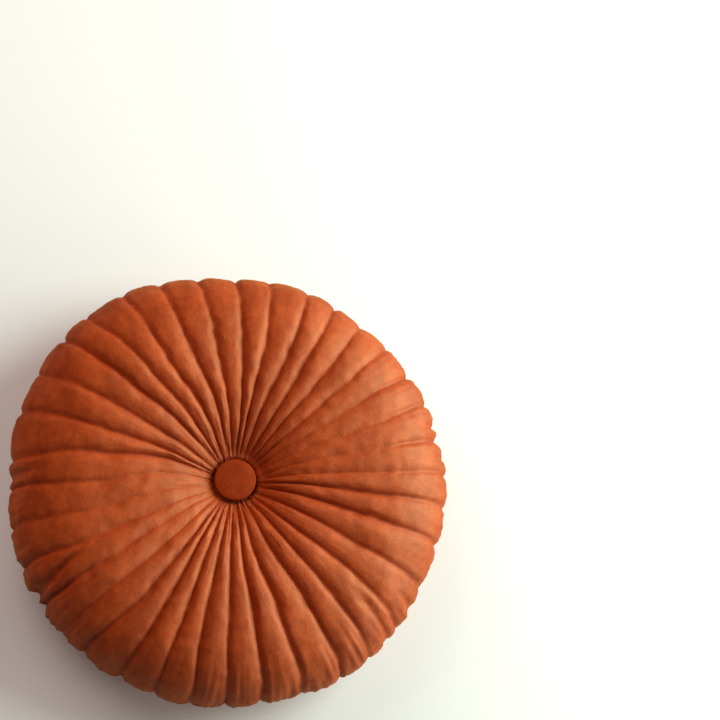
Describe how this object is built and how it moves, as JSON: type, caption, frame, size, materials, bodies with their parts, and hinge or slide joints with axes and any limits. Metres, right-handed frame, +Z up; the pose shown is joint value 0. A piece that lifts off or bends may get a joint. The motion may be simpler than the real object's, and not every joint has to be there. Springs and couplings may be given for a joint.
{
  "type": "round pumpkin cushion",
  "caption": "Round velvet cushion with stuffed channels running from the rim to a covered button tufted deep into the middle of each face; lies flat on a seat, bed or floor.",
  "frame": {"origin": "on the surface that the cushion lies on, under the middle of its outline", "axes": "+Z up, out of the face that shows; +X to the right and +Y to the top of that face in the picture"},
  "size_m": [0.3976, 0.394, 0.0998],
  "materials": {
    "cover_velvet": "burnt orange velvet, matt with a soft sheen",
    "button_velvet": "the same velvet, stretched over a button"
  },
  "bodies": {
    "root": {"cover": "cover_velvet", "button_front": "button_velvet", "button_back": "button_velvet"}
  },
  "joints": []
}
